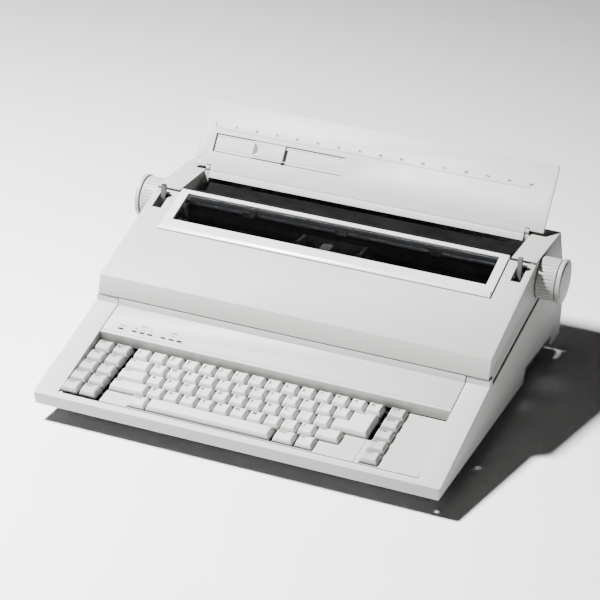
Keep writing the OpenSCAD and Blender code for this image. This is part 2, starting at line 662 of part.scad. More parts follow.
module carriage() color([0.20, 0.20, 0.21]) at_carriage() difference() {
    union() {
        box([-28, 240, 68], [28, 286.5, 89]);
        box([-28, 240, 88], [28, 256, 108]);
        box([-8, 250, 107], [8, 256, 141]);
        box([-6, 250, 131], [6, 270, 142.5]);
        box([-10, 256.5, 59.6], [10, 267.5, 69]);
        // arms and posts that hold the card guide clear of the wheel
        both() {
            box([27, 280, 84], [45, 286.5, 89]);
            box([40, 286, 84], [45, 293.8, 89]);
            box([41, 290.5, 84], [45, 293.8, 128]);
        }
        box([-45, 292.6, 112], [45, 293.8, 128]);
        // arms and spindles of the correction spools
        both() {
            box([27, 284.4, 84], [62, 286.2, 108]);
            bar_y(spool_x, 270.5, 285, 105, 3);
        }
    }
    bar_x(-60, 60, front_rail, rail_r + fit);
    bar_x(-60, 60, rear_rail, rail_r + fit);
    bar_y(0, 261, 271, hammer_z, 2.4 + fit);
}

module print_wheel() color([0.30, 0.30, 0.31]) at_carriage() difference() {
    translate([0, 288.3, wheel_z]) rotate([-90, 0, 0]) union() {
        cylinder(h = 1, r = 13);
        linear_extrude(0.8) for (i = [0:wheel_fingers - 1])
            rotate(i * 360 / wheel_fingers) translate([10, -0.8]) square([wheel_r - 10, 1.6]);
        cylinder(h = 2.6, r = 5);
    }
    bar_y(0, 280, 295, wheel_z, 2);
}

module wheel_motor() color([0.28, 0.28, 0.30]) at_carriage() {
    bar_y(0, 257, 286, wheel_z, 13.95);
    bar_y(0, 285, 290.4, wheel_z, 1.95);
}

module print_hammer() color([0.75, 0.75, 0.78]) at_carriage() bar_y(0, 262.4, 284.6, hammer_z, 2.4);

module ribbon_cassette() color([0.13, 0.13, 0.14]) at_carriage() difference() {
    union() {
        translate([0, 0, 118.2]) linear_extrude(9.8) round_rect(-58, 240, 58, 283.5, 10);
        for (s = [-1, 1]) box([s * 37 - 2, 270, 118.2], [s * 37 + 2, 291.9, 138.5]);
        box([-37, 291.2, 130.5], [37, 291.5, 138]);
        for (s = [-1, 1]) translate([s * 36, 262, 127]) cylinder(h = 3, r = 8);
    }
    box([-9.6, 230, 110], [9.6, 257.5, 150]);
    // take-up and supply windows
    for (s = [-1, 1]) translate([s * 36, 262, 110]) cylinder(h = 30, r = 3);
}

module correction_spools() color([0.80, 0.80, 0.78]) at_carriage() both() difference() {
    union() {
        bar_y(spool_x, 271, 284, 105, 10);
        for (y = [271, 283]) bar_y(spool_x, y, y + 1, 105, 12);
    }
    bar_y(spool_x, 265, 290, 105, 3 + fit);
}

// ---------- carriage drive ----------

module carriage_motor() color([0.25, 0.25, 0.27]) from_front() difference() {
    union() {
        bar_y(-pulley_x, 222, 256, belt.y, 16);
        box([-pulley_x - 17, 255, belt.y - 17], [-pulley_x + 17, 256.5, belt.y + 17]);
        box([-pulley_x - 11, 224, 11.2], [-pulley_x + 17, 256.5, 36]);
        bar_y(-pulley_x, 256, 267, belt.y, 2);
    }
}
module pulley() difference() {
    union() {
        bar_y(0, belt.x - 3.2, belt.x + 3.2, belt.y, pulley_r - 0.1);
        for (y = [belt.x - 4.4, belt.x + 3.2]) bar_y(0, y, y + 1.2, belt.y, pulley_r + 1.8);
    }
    bar_y(0, belt.x - 6, belt.x + 6, belt.y, 2 + fit);
}
module drive_pulley() color([0.75, 0.62, 0.30]) from_front() translate([-pulley_x, 0, 0]) pulley();
module idler_pulley() color([0.75, 0.62, 0.30]) from_front() translate([pulley_x, 0, 0]) pulley();
module drive_belt() color([0.08, 0.08, 0.08]) from_front() difference() {
    belt_solid(pulley_r + 1.2, 2.8);
    belt_solid(pulley_r, 4);
}
module belt_solid(r, w) union() {
    for (s = [-1, 1]) bar_y(s * pulley_x, belt.x - w, belt.x + w, belt.y, r);
    box([-pulley_x, belt.x - w, belt.y - r], [pulley_x, belt.x + w, belt.y + r]);
}

// ---------- electrics ----------

module main_board() color([0.10, 0.32, 0.20]) from_front() {
    box([-175, 158, 18], [70, 216, 19.6]);
    for (x = [-165, 60], y = [163, 211]) translate([x, y, 11.1]) cylinder(h = 7, r = 3);
    for (i = [0:4]) box([-150 + 38 * i, 172, 19.5], [-128 + 38 * i, 180, 23.5]);
    for (i = [0:2]) box([-145 + 60 * i, 192, 19.5], [-105 + 60 * i, 206, 24]);
    for (i = [0:5]) translate([-160 + 36 * i, 187, 19.5]) cylinder(h = 11, r = 3.5);
}

module power_supply() color([0.45, 0.44, 0.43]) from_front() {
    box([100, 330, 11.2], [182, 390, 14]);
    box([112, 336, 14], [170, 384, 62]);
    box([120, 328.5, 22], [162, 391.5, 54]);
    box([182, 334, 11.2], [184, 386, 30]);
    // idler pulley's post stands on the same base
    box([172, 250, 11.2], [194, 257.2, 60]);
    bar_y(pulley_x, 257, 267, belt.y, 2);
    box([176, 250, 11.2], [182, 334, 14]);
}

module power_inlet() color([0.12, 0.12, 0.12]) from_front() difference() {
    union() {
        box([150.3, 400, 28.3], [179.7, case_d - 0.4, 48.7]);
        box([147, 414, 25.6], [183, case_d - wall - 0.1, 51.4]);
    }
    box([154, 404, 31.5], [176, case_d + 1, 45.5]);
    for (x = [160, 170]) bar_y(x, 398, 405, 38.5, 1);
}

module power_switch() color([0.10, 0.10, 0.10]) from_front() difference() {
    bar_x(112.6, 131.4, [case_d - 9.5, 38], 9.2);
    box([100, 390, 20], [140, case_d - 9.4, 60]);
}

// ---------- drawing ----------

lower_case();
bottom_plate();
rubber_feet();
keyboard_deck();
control_panel();
indicator_lamps();
top_cover();
window_frame();
window_pane();
cover_pins();
rear_cover();
paper_support();
paper_guide();
side_frame_left();
side_frame_right();
platen_roller();
platen_shaft();
platen_bushes();
knob_left();
knob_right();
platen_gear();
feed_idler_gear();
feed_pinion();
feed_motor();
paper_pan();
feed_frame();
front_feed_rollers();
rear_feed_rollers();
paper_release_lever();
paper_bail();
bail_rollers();
carriage_rails();
carriage();
print_wheel();
wheel_motor();
print_hammer();
ribbon_cassette();
correction_spools();
carriage_motor();
drive_belt();
drive_pulley();
idler_pulley();
main_board();
power_supply();
power_switch();
power_inlet();
case_screws();
key_guide_plate();
key_board();
left_block_keys();
number_row_keys();
upper_row_keys();
home_row_keys();
lower_row_keys();
return_key();
left_shift_key();
right_shift_key();
space_bar();
front_row_keys();
right_block_keys();
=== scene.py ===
"""Electronic daisy-wheel typewriter with an open paper support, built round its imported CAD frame.

Units are metres. +X is the typist's right, +Y the back, +Z up; the table is z = 0.
"""
import json
import math

import bmesh
import bpy
from mathutils import Matrix, Vector


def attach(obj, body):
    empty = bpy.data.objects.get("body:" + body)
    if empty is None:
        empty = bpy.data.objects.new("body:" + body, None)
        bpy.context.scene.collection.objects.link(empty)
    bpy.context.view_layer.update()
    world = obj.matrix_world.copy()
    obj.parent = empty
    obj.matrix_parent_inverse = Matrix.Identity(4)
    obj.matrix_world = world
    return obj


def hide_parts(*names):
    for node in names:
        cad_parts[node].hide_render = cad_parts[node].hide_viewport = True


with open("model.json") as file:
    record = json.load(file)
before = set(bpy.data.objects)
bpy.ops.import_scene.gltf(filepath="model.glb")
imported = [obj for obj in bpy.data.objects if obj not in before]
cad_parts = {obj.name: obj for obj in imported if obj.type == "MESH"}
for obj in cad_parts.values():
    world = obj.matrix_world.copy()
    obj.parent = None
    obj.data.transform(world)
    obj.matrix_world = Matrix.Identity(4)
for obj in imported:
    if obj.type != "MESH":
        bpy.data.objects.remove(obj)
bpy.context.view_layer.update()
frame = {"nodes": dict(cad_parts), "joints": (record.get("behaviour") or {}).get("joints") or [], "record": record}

MM = 0.001
NODES = frame["nodes"]

# Sloping surfaces of the CAD model, in degrees above the table
DECK_ANGLE = 9.4
WING_ANGLE = 17.17
SUPPORT_ANGLE = 56.0


# ---------- camera, light and stage ----------

CAMERA_PLACE = (0.8036, -2.0853, 1.1734)
CAMERA_AZIMUTH = 21.37      # degrees
CAMERA_ELEVATION = 25.62
CAMERA_ROLL = 2.7
CAMERA_LENS = 137.1         # mm
SENSOR = 36.0               # mm

KEY_LIGHT_POWER = 160       # watts
KEY_LIGHT_SPREAD = 118      # degrees; narrower leaves the far backdrop black
FILL_LIGHT_POWER = 0.8
WORLD_STRENGTH = 0.03


def make_camera():
    data = bpy.data.cameras.new("camera")
    data.lens = CAMERA_LENS
    data.sensor_width = SENSOR
    camera = bpy.data.objects.new("camera", data)
    bpy.context.scene.collection.objects.link(camera)
    azimuth = math.radians(CAMERA_AZIMUTH)
    elevation = math.radians(CAMERA_ELEVATION)
    roll = math.radians(CAMERA_ROLL)
    turn = Matrix.Rotation(azimuth, 4, "Z") @ Matrix.Rotation(math.pi / 2 - elevation, 4, "X")
    camera.matrix_world = Matrix.Translation(CAMERA_PLACE) @ turn @ Matrix.Rotation(roll, 4, "Z")
    bpy.context.scene.camera = camera


def area_light(name, place, target, size, power, spread=180):
    """Rectangular lamp at place, turned towards target."""
    data = bpy.data.lights.new(name, "AREA")
    data.spread = math.radians(spread)
    data.shape = "RECTANGLE"
    data.size, data.size_y = size
    data.energy = power
    lamp = bpy.data.objects.new(name, data)
    bpy.context.scene.collection.objects.link(lamp)
    aim = Vector(target) - Vector(place)
    lamp.matrix_world = Matrix.Translation(place) @ aim.to_track_quat("-Z", "Y").to_matrix().to_4x4()


def make_lights():
    area_light("key_light", (-0.98, -0.50, 1.95), (-0.5, -0.5, 0.0), (0.26, 0.26), KEY_LIGHT_POWER,
               KEY_LIGHT_SPREAD)
    area_light("front_fill", (-0.9, -2.6, 0.75), (0.0, 0.0, 0.1), (1.6, 0.9), FILL_LIGHT_POWER)
    world = bpy.data.worlds.new("studio")
    world.use_nodes = True
    sky = world.node_tree.nodes["Background"]
    sky.inputs["Color"].default_value = (1.0, 1.0, 1.0, 1.0)
    sky.inputs["Strength"].default_value = WORLD_STRENGTH
    bpy.context.scene.world = world


# ---------- materials ----------

NOISE_LOW, NOISE_HIGH = 0.3, 0.7     # band of the noise that carries its pattern
EDGE_START, EDGE_END = 0.51, 0.60    # pointiness from flat to rubbed edge
RUB_GAIN = 6                         # share of the lighter colour on an edge, per unit of wear
GRAIN_DEPTH = 0.0001
MARK_DEPTH = 0.00005


def new_material(name):
    """A node material, its tree and its shader."""
    material = bpy.data.materials.new(name)
    material.use_nodes = True
    tree = material.node_tree
    return material, tree, tree.nodes["Principled BSDF"]


def noise(tree, size, detail=2.0, stretch=(1, 1, 1)):
    """Noise with features of that size in metres, in the object's own space."""
    place = tree.nodes.new("ShaderNodeTexCoord")
    mapping = tree.nodes.new("ShaderNodeMapping")
    mapping.inputs["Scale"].default_value = stretch
    texture = tree.nodes.new("ShaderNodeTexNoise")
    texture.inputs["Scale"].default_value = 1 / size
    texture.inputs["Detail"].default_value = detail
    tree.links.new(place.outputs["Object"], mapping.inputs["Vector"])
    tree.links.new(mapping.outputs["Vector"], texture.inputs["Vector"])
    return texture.outputs["Fac"]


def ramp(tree, source, low, high, start=0.35, end=0.65):
    """Colour that runs from low to high while the source runs from start to end."""
    node = tree.nodes.new("ShaderNodeValToRGB")
    node.color_ramp.elements[0].position = start
    node.color_ramp.elements[1].position = end
    node.color_ramp.elements[0].color = (*low, 1)
    node.color_ramp.elements[1].color = (*high, 1)
    tree.links.new(source, node.inputs["Fac"])
    return node.outputs["Color"]


def map_range(tree, source, low, high):
    """Value from low to high over the band of a noise."""
    node = tree.nodes.new("ShaderNodeMapRange")
    node.inputs["From Min"].default_value = NOISE_LOW
    node.inputs["From Max"].default_value = NOISE_HIGH
    node.inputs["To Min"].default_value = low
    node.inputs["To Max"].default_value = high
    tree.links.new(source, node.inputs["Value"])
    return node.outputs["Result"]


def bump(tree, shader, source, strength, depth=GRAIN_DEPTH):
    """Relief of that depth in metres."""
    node = tree.nodes.new("ShaderNodeBump")
    node.inputs["Strength"].default_value = strength
    node.inputs["Distance"].default_value = depth
    tree.links.new(source, node.inputs["Height"])
    tree.links.new(node.outputs["Normal"], shader.inputs["Normal"])


def shade(color, factor):
    return tuple(min(1.0, c * factor) for c in color)


def moulded(name, color, rough=0.55, grain=0.0007, strength=0.25, variation=0.03, wear=0.06):
    """Moulded plastic: fine spark-eroded grain, slightly uneven tone, edges rubbed lighter."""
    material, tree, shader = new_material(name)
    patches = ramp(tree, noise(tree, 0.09, 3), shade(color, 1 - variation), shade(color, 1 + variation))
    edges = tree.nodes.new("ShaderNodeNewGeometry")
    share = (wear * RUB_GAIN,) * 3
    rubbed = ramp(tree, edges.outputs["Pointiness"], (0, 0, 0), share, EDGE_START, EDGE_END)
    lighten = tree.nodes.new("ShaderNodeMix")
    lighten.data_type = "RGBA"
    lighten.blend_type = "MIX"
    lighten.inputs["B"].default_value = (*shade(color, 1 + wear), 1)
    tree.links.new(rubbed, lighten.inputs["Factor"])
    tree.links.new(patches, lighten.inputs["A"])
    tree.links.new(lighten.outputs["Result"], shader.inputs["Base Color"])
    gloss = map_range(tree, noise(tree, 0.03, 2), rough - 0.04, rough + 0.05)
    tree.links.new(gloss, shader.inputs["Roughness"])
    shader.inputs["Specular IOR Level"].default_value = 0.4
    bump(tree, shader, noise(tree, grain, 2), strength)
    return material


def metal(name, color, rough=0.3, stretch=(1, 30, 30), strength=0.15):
    """Ground or plated steel with fine drawn marks along X."""
    material, tree, shader = new_material(name)
    marks = noise(tree, 0.004, 3, stretch)
    tree.links.new(ramp(tree, marks, shade(color, 0.86), color), shader.inputs["Base Color"])
    tree.links.new(map_range(tree, marks, rough - 0.06, rough + 0.1), shader.inputs["Roughness"])
    shader.inputs["Metallic"].default_value = 1.0
    bump(tree, shader, marks, strength, MARK_DEPTH)
    return material


def rubber(name, color, rough=0.75, specular=0.2):
    """Ground rubber or matt black paint, dusty in places; on the paper pan it is painted shade."""
    material, tree, shader = new_material(name)
    shader.inputs["Specular IOR Level"].default_value = specular
    dust = ramp(tree, noise(tree, 0.012, 5, (0.4, 1, 1)), color, shade(color, 1.7))
    tree.links.new(dust, shader.inputs["Base Color"])
    gloss = map_range(tree, noise(tree, 0.006, 2), rough - 0.1, rough + 0.1)
    tree.links.new(gloss, shader.inputs["Roughness"])
    bump(tree, shader, noise(tree, 0.0005, 3), 0.4)
    return material


def clear_plastic(name):
    """Clear acrylic with faint wiping marks."""
    material, tree, shader = new_material(name)
    shader.inputs["Base Color"].default_value = (0.86, 0.88, 0.90, 1)
    shader.inputs["Transmission Weight"].default_value = 1.0
    shader.inputs["IOR"].default_value = 1.49
    wiped = map_range(tree, noise(tree, 0.02, 4, (1, 3, 3)), 0.02, 0.07)
    tree.links.new(wiped, shader.inputs["Roughness"])
    return material


def circuit_board(name):
    """Solder-masked laminate with lighter copper runs under the mask."""
    material, tree, shader = new_material(name)
    mask, copper = (0.03, 0.13, 0.07), (0.06, 0.22, 0.12)
    runs = ramp(tree, noise(tree, 0.006, 0, (1, 8, 1)), mask, copper, 0.49, 0.51)
    tree.links.new(runs, shader.inputs["Base Color"])
    shader.inputs["Roughness"].default_value = 0.35
    bump(tree, shader, noise(tree, 0.003, 1, (1, 6, 1)), 0.2)
    return material


# Base colours are linear values, chosen so that the tones come out right under the view transform
CASE = (0.335, 0.332, 0.322)
LIGHT = (0.35, 0.347, 0.337)
KEY_WHITE = (0.44, 0.436, 0.425)
KEY_GREY = (0.31, 0.307, 0.30)
MATERIALS = {
    "case_plastic": moulded("case_plastic", CASE),
    "panel_plastic": moulded("panel_plastic", LIGHT, rough=0.5),
    "cover_plastic": moulded("cover_plastic", LIGHT),
    "base_plastic": moulded("base_plastic", (0.09, 0.09, 0.088), rough=0.65),
    "key_white": moulded("key_white", KEY_WHITE, rough=0.42, grain=0.0004, strength=0.12),
    "key_grey": moulded("key_grey", KEY_GREY, rough=0.42, grain=0.0004, strength=0.12),
    "knob_plastic": moulded("knob_plastic", (0.30, 0.297, 0.288), rough=0.45),
    "window_rim": moulded("window_rim", (0.50, 0.50, 0.49), rough=0.2, strength=0.05),
    "clear_window": clear_plastic("clear_window"),
    "platen_rubber": rubber("platen_rubber", (0.004, 0.004, 0.004), 0.8, specular=0.03),
    "roller_rubber": rubber("roller_rubber", (0.02, 0.02, 0.02)),
    "foot_rubber": rubber("foot_rubber", (0.015, 0.015, 0.015)),
    "steel": metal("steel", (0.50, 0.51, 0.53), 0.42),
    "bright_steel": metal("bright_steel", (0.75, 0.75, 0.76), 0.2),
    # The paper pan's steel is painted near-black and matt: painted shade for the dark inside of the machine, where
    # the pan would catch the key light.
    "pan_steel": rubber("pan_steel", (0.004, 0.004, 0.004), 0.85, specular=0.02),
    "brass": metal("brass", (0.62, 0.45, 0.20), 0.3),
    "gear_plastic": moulded("gear_plastic", (0.70, 0.67, 0.58), rough=0.4),
    "black_plastic": moulded("black_plastic", (0.018, 0.018, 0.02), rough=0.45),
    "motor_metal": metal("motor_metal", (0.10, 0.10, 0.11), 0.45),
    "lever_plastic": moulded("lever_plastic", (0.07, 0.07, 0.068), rough=0.45),
    "belt_rubber": rubber("belt_rubber", (0.012, 0.012, 0.012)),
    "board": circuit_board("board"),
    "lamp": moulded("lamp", (0.03, 0.012, 0.012), rough=0.2, strength=0.05),
    "transformer": metal("transformer", (0.25, 0.24, 0.23), 0.5),
    "switch_black": moulded("switch_black", (0.02, 0.02, 0.02), rough=0.25),
}
INK = moulded("ink", (0.01, 0.01, 0.012), rough=0.6, variation=0.15)
FLOOR = moulded("floor", (0.72, 0.72, 0.72), rough=0.9, grain=0.004, strength=0.03,
                variation=0.01)


# ---------- CAD nodes ----------

# Width of the rounded edges, in mm
BEVELS = {
    "lower_case": 1.1, "top_cover": 1.3, "rear_cover": 1.1, "control_panel": 0.5,
    "paper_support": 0.7, "window_frame": 0.4, "knob_left": 0.5, "knob_right": 0.5,
    "bottom_plate": 0.8, "rubber_feet": 0.5, "paper_release_lever": 0.6, "paper_bail": 0.4,
    "paper_guide": 0.3, "ribbon_cassette": 0.5,
}
BEVEL_SEGMENTS = 3
BEVEL_FROM = math.radians(25)    # edges that turn less than this stay sharp
FLAT_WITHIN = math.radians(1)
WELD_WITHIN = 0.01 * MM


def soften(node, width):
    """Rounds a CAD node's edges with modifiers, and leaves its mesh alone."""
    weld = node.modifiers.new("weld", "WELD")
    weld.merge_threshold = WELD_WITHIN
    flat = node.modifiers.new("flat", "DECIMATE")
    flat.decimate_type = "DISSOLVE"
    flat.angle_limit = FLAT_WITHIN
    bevel = node.modifiers.new("bevel", "BEVEL")
    bevel.width = width * MM
    bevel.segments = BEVEL_SEGMENTS
    bevel.limit_method = "ANGLE"
    bevel.angle_limit = BEVEL_FROM
    bevel.harden_normals = True


# Nodes darker than the rest of their slot. The paper bail's dark metal is painted shade: a steel bail drawn dark
# for the shade it stands in behind the window.
DARKER_LOOKS_AND_SHADE = {"paper_bail": "motor_metal", "paper_release_lever": "lever_plastic"}


def dress_nodes():
    """Gives every CAD node the look of its slot or the darker look from the table above, smooth shading, and
    rounded edges where BEVELS lists a width.
    """
    slots = {s["node"]: s["material_slot"] for s in frame["record"]["subparts"]} | DARKER_LOOKS_AND_SHADE
    for name, node in NODES.items():
        node.data.materials.clear()
        node.data.materials.append(MATERIALS[slots[name]])
        for face in node.data.polygons:
            face.use_smooth = True
        if name in BEVELS:
            soften(node, BEVELS[name])


# ---------- mesh helpers ----------

SAME_POINT = 0.005 * MM
INK_LIFT = 0.03 * MM      # height of flat marks above their surface
LETTER_LIFT = 0.05 * MM


def mesh_piece(name, bm, material, body, smooth=True):
    """Makes a visible piece from a bmesh, riding on that body."""
    data = bpy.data.meshes.new(name)
    bmesh.ops.recalc_face_normals(bm, faces=bm.faces)
    bm.to_mesh(data)
    bm.free()
    for face in data.polygons:
        face.use_smooth = smooth
    data.materials.append(material)
    piece = bpy.data.objects.new(name, data)
    bpy.context.scene.collection.objects.link(piece)
    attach(piece, body)
    return piece


def tilted(angle):
    """Rotation that lays the XY plane on a surface sloping up to the back."""
    return Matrix.Rotation(math.radians(angle), 4, "X")


def islands(node):
    """The separate solids of a CAD node, as lists of points."""
    bm = bmesh.new()
    bm.from_mesh(node.data)
    bmesh.ops.remove_doubles(bm, verts=bm.verts, dist=SAME_POINT)
    left = set(bm.verts)
    found = []
    while left:
        stack = [left.pop()]
        group = []
        while stack:
            vertex = stack.pop()
            group.append(vertex.co.copy())
            for edge in vertex.link_edges:
                other = edge.other_vert(vertex)
                if other in left:
                    left.remove(other)
                    stack.append(other)
        found.append(group)
    bm.free()
    return found


def body_of_node(name):
    bodies = frame["record"]["behaviour"]["bodies"]
    return next(body for body, members in bodies.items() if name in members)


def frame_joint(name):
    return next(j for j in frame["joints"] if j["name"] == name)


def flat_level(x):
    """Height of a flat surface."""
    return 0.0


# ---------- keys ----------

CORNER_POINTS = 5
EDGE_PARTS = 8
STEM_LENGTH = 7 * MM
STEM_HALF = 2.5 * MM
STEM_IN_CAP = 3 * MM
CAP_SLOPE = 2.6 * MM      # how far the cap's sides, front and back lean in
FRONT_SLOPE = 2.0 * MM
BACK_SLOPE = 3.4 * MM
SIDE_SHARES = (0.45, 0.9)    # heights of the rings on the cap's sides
TOP_SCALES = (0.75, 0.5, 0.25)
ROUNDING = ((0.45, 0.12), (0.12, 0.4), (0.0, 0.85))   # drop and inset of the top edge's rings, in mm
BASE_RADIUS = 0.6 * MM
TOP_RADIUS = 1.5 * MM
DISH = 0.8 * MM
WIDE_DISH = 0.6           # share of the dish on a wide key
WIDE_KEY = 30 * MM
TWO_STEMS = 36 * MM       # a key wider than this has two stems
RETURN_STEP_X = 27.7 * MM     # width of the return key's upper part
RETURN_STEP_Y = 18.2 * MM     # depth of its lower part
RETURN_STEM_Y = 9.1 * MM
deck_turn = tilted(DECK_ANGLE)
deck_back = deck_turn.inverted()


def rounded(corners, radius):
    """Ring of points round a polygon with its corners rounded; corners run anticlockwise."""
    arcs = []
    count = len(corners)
    for i, corner in enumerate(corners):
        before = (corners[i - 1] - corner).normalized()
        after = (corners[(i + 1) % count] - corner).normalized()
        centre = corner + (before + after) * radius
        a0 = math.atan2(-after.y, -after.x)
        sweep = (math.atan2(-before.y, -before.x) - a0 + math.pi) % (2 * math.pi) - math.pi
        turns = [a0 + sweep * k / (CORNER_POINTS - 1) for k in range(CORNER_POINTS)]
        arcs.append([centre + Vector((math.cos(a), math.sin(a))) * radius for a in turns])
    ring = []
    for arc, following in zip(arcs, arcs[1:] + arcs[:1]):
        ring += arc
        ring += [arc[-1].lerp(following[0], k / EDGE_PARTS) for k in range(1, EDGE_PARTS)]
    return ring


def inset(corners, side, front, back):
    """Polygon with right-angled corners moved inwards by side at the sides, front and back there."""
    count = len(corners)
    moved = []
    for i, corner in enumerate(corners):
        shift = Vector((0, 0))
        for edge in (corner - corners[i - 1], corners[(i + 1) % count] - corner):
            direction = edge.normalized()
            normal = Vector((-direction.y, direction.x))
            shift += normal * (side if abs(normal.x) > 0.5 else (front if normal.y > 0 else back))
        moved.append(corner + shift)
    return moved


def cap_outline(corners, share, extra, radius):
    """Rounded outline of a cap at that share of its slope, moved in by extra."""
    return rounded(inset(corners, CAP_SLOPE * share + extra, FRONT_SLOPE * share + extra,
                         BACK_SLOPE * share + extra), radius)


def loft(bm, rings):
    """Quads between rings of the same number of points."""
    rows = [[bm.verts.new(p) for p in ring] for ring in rings]
    for low, high in zip(rows, rows[1:]):
        for i in range(len(low)):
            j = (i + 1) % len(low)
            bm.faces.new((low[i], low[j], high[j], high[i]))
    return rows


def build_cap(bm, corners, base, top, dish, hub):
    """A key cap with sloping sides, rounded edges and a dished top that closes to the point hub."""
    xs = [c.x for c in corners]
    middle, half = (min(xs) + max(xs)) / 2, (max(xs) - min(xs)) / 2 - CAP_SLOPE

    def surface(x):
        return top - dish * (1 - min(1, abs(x - middle) / half) ** 2)

    rings = [[Vector((p.x, p.y, base)) for p in cap_outline(corners, 0, 0, BASE_RADIUS)]]
    for share in SIDE_SHARES:
        rings.append([Vector((p.x, p.y, base + (surface(p.x) - base) * share))
                      for p in cap_outline(corners, share, 0, BASE_RADIUS + share * MM)])
    for drop, extra in ROUNDING:
        rings.append([Vector((p.x, p.y, surface(p.x) - drop * MM))
                      for p in cap_outline(corners, 1, extra * MM, TOP_RADIUS)])
    edge = [p.to_2d() for p in rings[-1]]
    for scale in TOP_SCALES:
        spots = [hub + (p - hub) * scale for p in edge]
        rings.append([Vector((p.x, p.y, surface(p.x))) for p in spots])
    rows = loft(bm, rings)
    centre = bm.verts.new((hub.x, hub.y, surface(hub.x)))
    last = rows[-1]
    for i in range(len(last)):
        bm.faces.new((last[i], last[(i + 1) % len(last)], centre))
    bm.faces.new(list(reversed(rows[0])))
    return surface


def stem(bm, x, y, low, high):
    box_mesh(bm, (x - STEM_HALF, y - STEM_HALF, low), (x + STEM_HALF, y + STEM_HALF, high))


def box_mesh(bm, low, high):
    made = bmesh.ops.create_cube(bm, size=1)
    for vertex in made["verts"]:
        for axis in range(3):
            vertex.co[axis] = high[axis] if vertex.co[axis] > 0 else low[axis]


def glyphs(bm, text, size, place, surface, align="LEFT"):
    """Flat lettering at place, laid on the surface height(x), a hair above it."""
    curve = bpy.data.curves.new("lettering", "FONT")
    curve.body = text
    curve.size = size
    curve.align_x = align
    curve.offset = size * 0.05
    curve.space_line = 0.9
    holder = bpy.data.objects.new("lettering", curve)
    bpy.context.scene.collection.objects.link(holder)
    evaluated = holder.evaluated_get(bpy.context.evaluated_depsgraph_get())
    shape = evaluated.to_mesh()
    made = []
    for vertex in shape.vertices:
        x, y = vertex.co.x + place[0], vertex.co.y + place[1]
        made.append(bm.verts.new((x, y, surface(x) + LETTER_LIFT)))
    for face in shape.polygons:
        bm.faces.new([made[i] for i in face.vertices])
    evaluated.to_mesh_clear()
    bpy.data.objects.remove(holder)
    bpy.data.curves.remove(curve)


# Legends of each key node, back row first, then from the left
LEGENDS = {
    "number_row_keys": ["[\n]", "!\n1", "@\n2", "#\n3", "$\n4", "%\n5", "&\n6", "*\n7", "(\n8", ")\n9",
                        "_\n0", "+\n-", "=", "<", "X"],
    "upper_row_keys": ["TAB"] + list("QWERTYUIOP") + ["/\n?", "°"],
    "home_row_keys": ["LOCK"] + list("ASDFGHJKL") + [":\n;", "\"\n'"],
    "lower_row_keys": list("ZXCVBNM") + [",", ".", "?\n/"],
    "left_shift_key": ["SHIFT"],
    "right_shift_key": ["SHIFT"],
    "space_bar": [""],
    "front_row_keys": ["CODE", "INDEX", "REV"],
    "right_block_keys": ["CORR", "RELOC", "PAPER", "EXP", "BACK"],
    "left_block_keys": ["LINE", "MARG\nREL", "L MAR", "T SET", "R MAR", "T CLR", "PITCH", "BOLD",
                        "AUTO", "UNDL"],
    "return_key": ["RETURN"],
}


def key_boxes(name):
    """Extent of every cap of a key node on the deck, back row first, then from the left."""
    boxes = []
    for points in islands(NODES[name]):
        local = [deck_back @ p for p in points]
        low = Vector([min(p[i] for p in local) for i in range(3)])
        high = Vector([max(p[i] for p in local) for i in range(3)])
        boxes.append((low, high))
    return sorted(boxes, key=lambda b: (-round(b[0].y, 3), b[0].x))


def key_outline(name, low, high):
    """Corners of a cap seen from above, and the point its top closes to."""
    if name != "return_key":
        corners = [Vector(c) for c in ((low.x, low.y), (high.x, low.y), (high.x, high.y),
                                       (low.x, high.y))]
        return corners, Vector(((low.x + high.x) / 2, (low.y + high.y) / 2))
    step_x = high.x - RETURN_STEP_X
    step_y = low.y + RETURN_STEP_Y
    corners = [Vector(c) for c in ((low.x, low.y), (high.x, low.y), (high.x, high.y),
                                   (step_x, high.y), (step_x, step_y), (low.x, step_y))]
    return corners, Vector(((step_x + high.x) / 2, (low.y + step_y) / 2))


LETTER, PAIR, WORD = 5.6 * MM, 4.0 * MM, 3.1 * MM   # text sizes of one letter, two lines and words
WORD_MARGIN, LETTER_MARGIN = 1.0, 2.2    # from the left edge of the top, in mm
LEGEND_DOWN = 1.5 * MM
CAPITAL_HEIGHT = 0.7                     # share of the text size


def legend_size(legend):
    lines = legend.split("\n")
    if max(len(line) for line in lines) > 2:
        return WORD
    return PAIR if len(lines) > 1 else LETTER


def key_dish(name, wide):
    if name in ("space_bar", "return_key"):
        return 0.0
    return DISH * (WIDE_DISH if wide > WIDE_KEY else 1)


def make_keys():
    """Finished key caps with stems in place of the plain CAD keys, and their legends."""
    for name, legends in LEGENDS.items():
        caps, ink = bmesh.new(), bmesh.new()
        for (low, high), legend in zip(key_boxes(name), legends):
            base = low.z + STEM_LENGTH
            corners, hub = key_outline(name, low, high)
            wide = high.x - low.x
            surface = build_cap(caps, corners, base, high.z, key_dish(name, wide), hub)
            spread = wide / 3 if wide > TWO_STEMS else 0
            stem_y = low.y + RETURN_STEM_Y if name == "return_key" else hub.y
            for x in {-spread, spread}:
                stem(caps, (low.x + high.x) / 2 + x, stem_y, low.z, base + STEM_IN_CAP)
            size = legend_size(legend)
            edge = min(c.x for c in corners if c.y == high.y)
            left = edge + CAP_SLOPE + (WORD_MARGIN if size == WORD else LETTER_MARGIN) * MM
            up = high.y - BACK_SLOPE - LEGEND_DOWN - size * CAPITAL_HEIGHT
            glyphs(ink, legend, size, (left, up), surface)
        body = body_of_node(name)
        look = "key_grey" if "block" in name else "key_white"
        for bm in (caps, ink):
            bmesh.ops.transform(bm, matrix=deck_turn, verts=bm.verts)
        piece = mesh_piece(name + "_caps", caps, MATERIALS[look], body)
        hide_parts(name)
        if ink.verts:
            mesh_piece(name + "_legends", ink, INK, body, smooth=False)


# ---------- printed scales and legends ----------

def surface_matrix(point, angle):
    return Matrix.Translation(point) @ tilted(angle)


